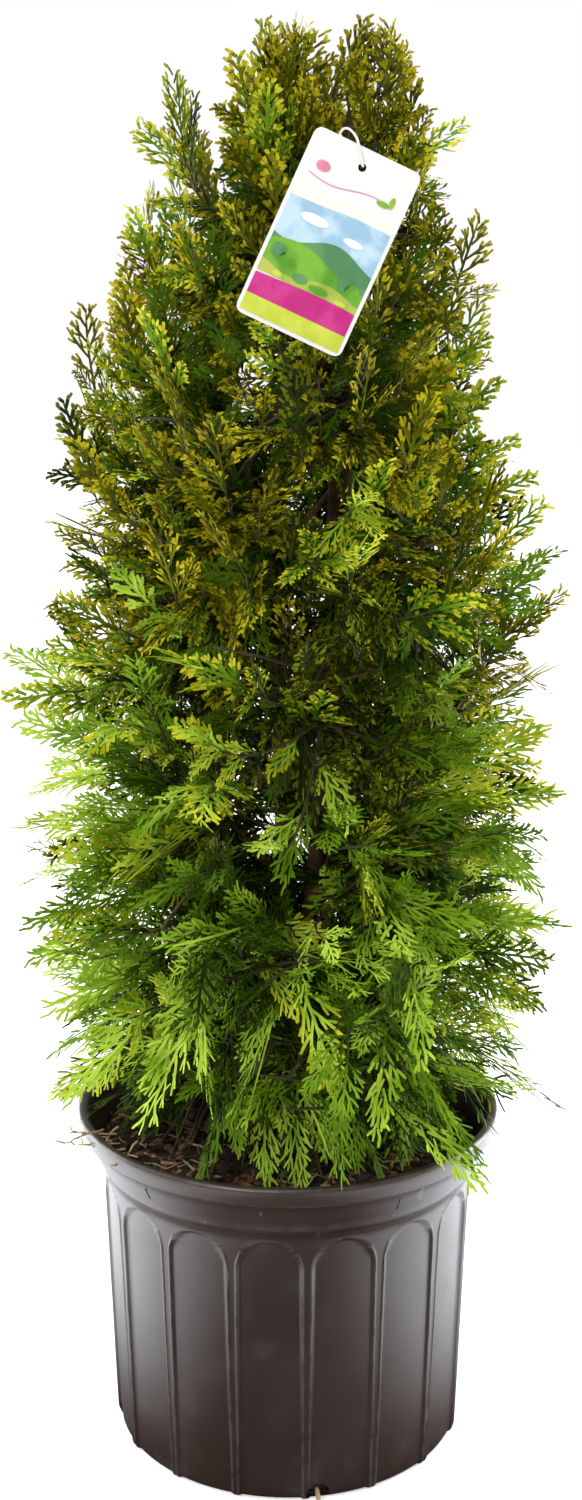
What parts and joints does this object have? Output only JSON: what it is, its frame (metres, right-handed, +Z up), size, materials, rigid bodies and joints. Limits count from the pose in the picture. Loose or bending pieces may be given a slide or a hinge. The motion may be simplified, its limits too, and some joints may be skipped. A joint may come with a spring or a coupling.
{
  "type": "potted arborvitae",
  "caption": "Young upright arborvitae with flat fans of scale foliage, growing in a fluted dark plastic nursery pot filled with soil, with a hang tag near its tip.",
  "frame": {"origin": "middle of the pot's flat underside", "axes": "+Z up along the plant, -Y towards the front as pictured, +X to the right"},
  "size_m": [0.3663, 0.3564, 0.925],
  "materials": {
    "pot_plastic": "semi-matte black moulded plastic, dusty and lightly scuffed",
    "soil": "loose dark bark potting mix with pale chips",
    "bark": "thin red-brown fibrous bark",
    "foliage": "satin scale leaves, lime to deep green with golden tips",
    "tag_card": null,
    "tie_plastic": "thin white plastic tie"
  },
  "bodies": {
    "root": {"pot": "pot_plastic", "soil": "soil", "trunk": "bark", "second_leader": "bark", "bough_01": "bark", "bough_02": "bark", "bough_03": "bark", "bough_04": "bark", "bough_05": "bark", "bough_06": "bark", "bough_07": "bark", "bough_08": "bark", "bough_09": "bark", "bough_10": "bark", "bough_11": "bark", "bough_12": "bark", "bough_13": "bark", "bough_14": "bark", "bough_15": "bark", "bough_16": "bark", "bough_17": "bark", "bough_18": "bark", "bough_19": "bark", "bough_20": "bark", "bough_21": "bark", "bough_22": "bark", "bough_23": "bark", "mass_01": "foliage", "mass_02": "foliage", "mass_03": "foliage", "mass_04": "foliage", "mass_05": "foliage", "mass_06": "foliage", "mass_07": "foliage", "mass_08": "foliage", "mass_09": "foliage", "mass_10": "foliage", "mass_11": "foliage", "mass_12": "foliage", "mass_13": "foliage", "mass_14": "foliage", "mass_15": "foliage", "mass_16": "foliage", "mass_17": "foliage", "mass_18": "foliage", "mass_19": "foliage", "mass_20": "foliage", "mass_21": "foliage", "mass_22": "foliage", "mass_23": "foliage", "left_plume": "foliage", "right_plume": "foliage", "tag": "tag_card", "tag_tie": "tie_plastic"}
  },
  "joints": []
}
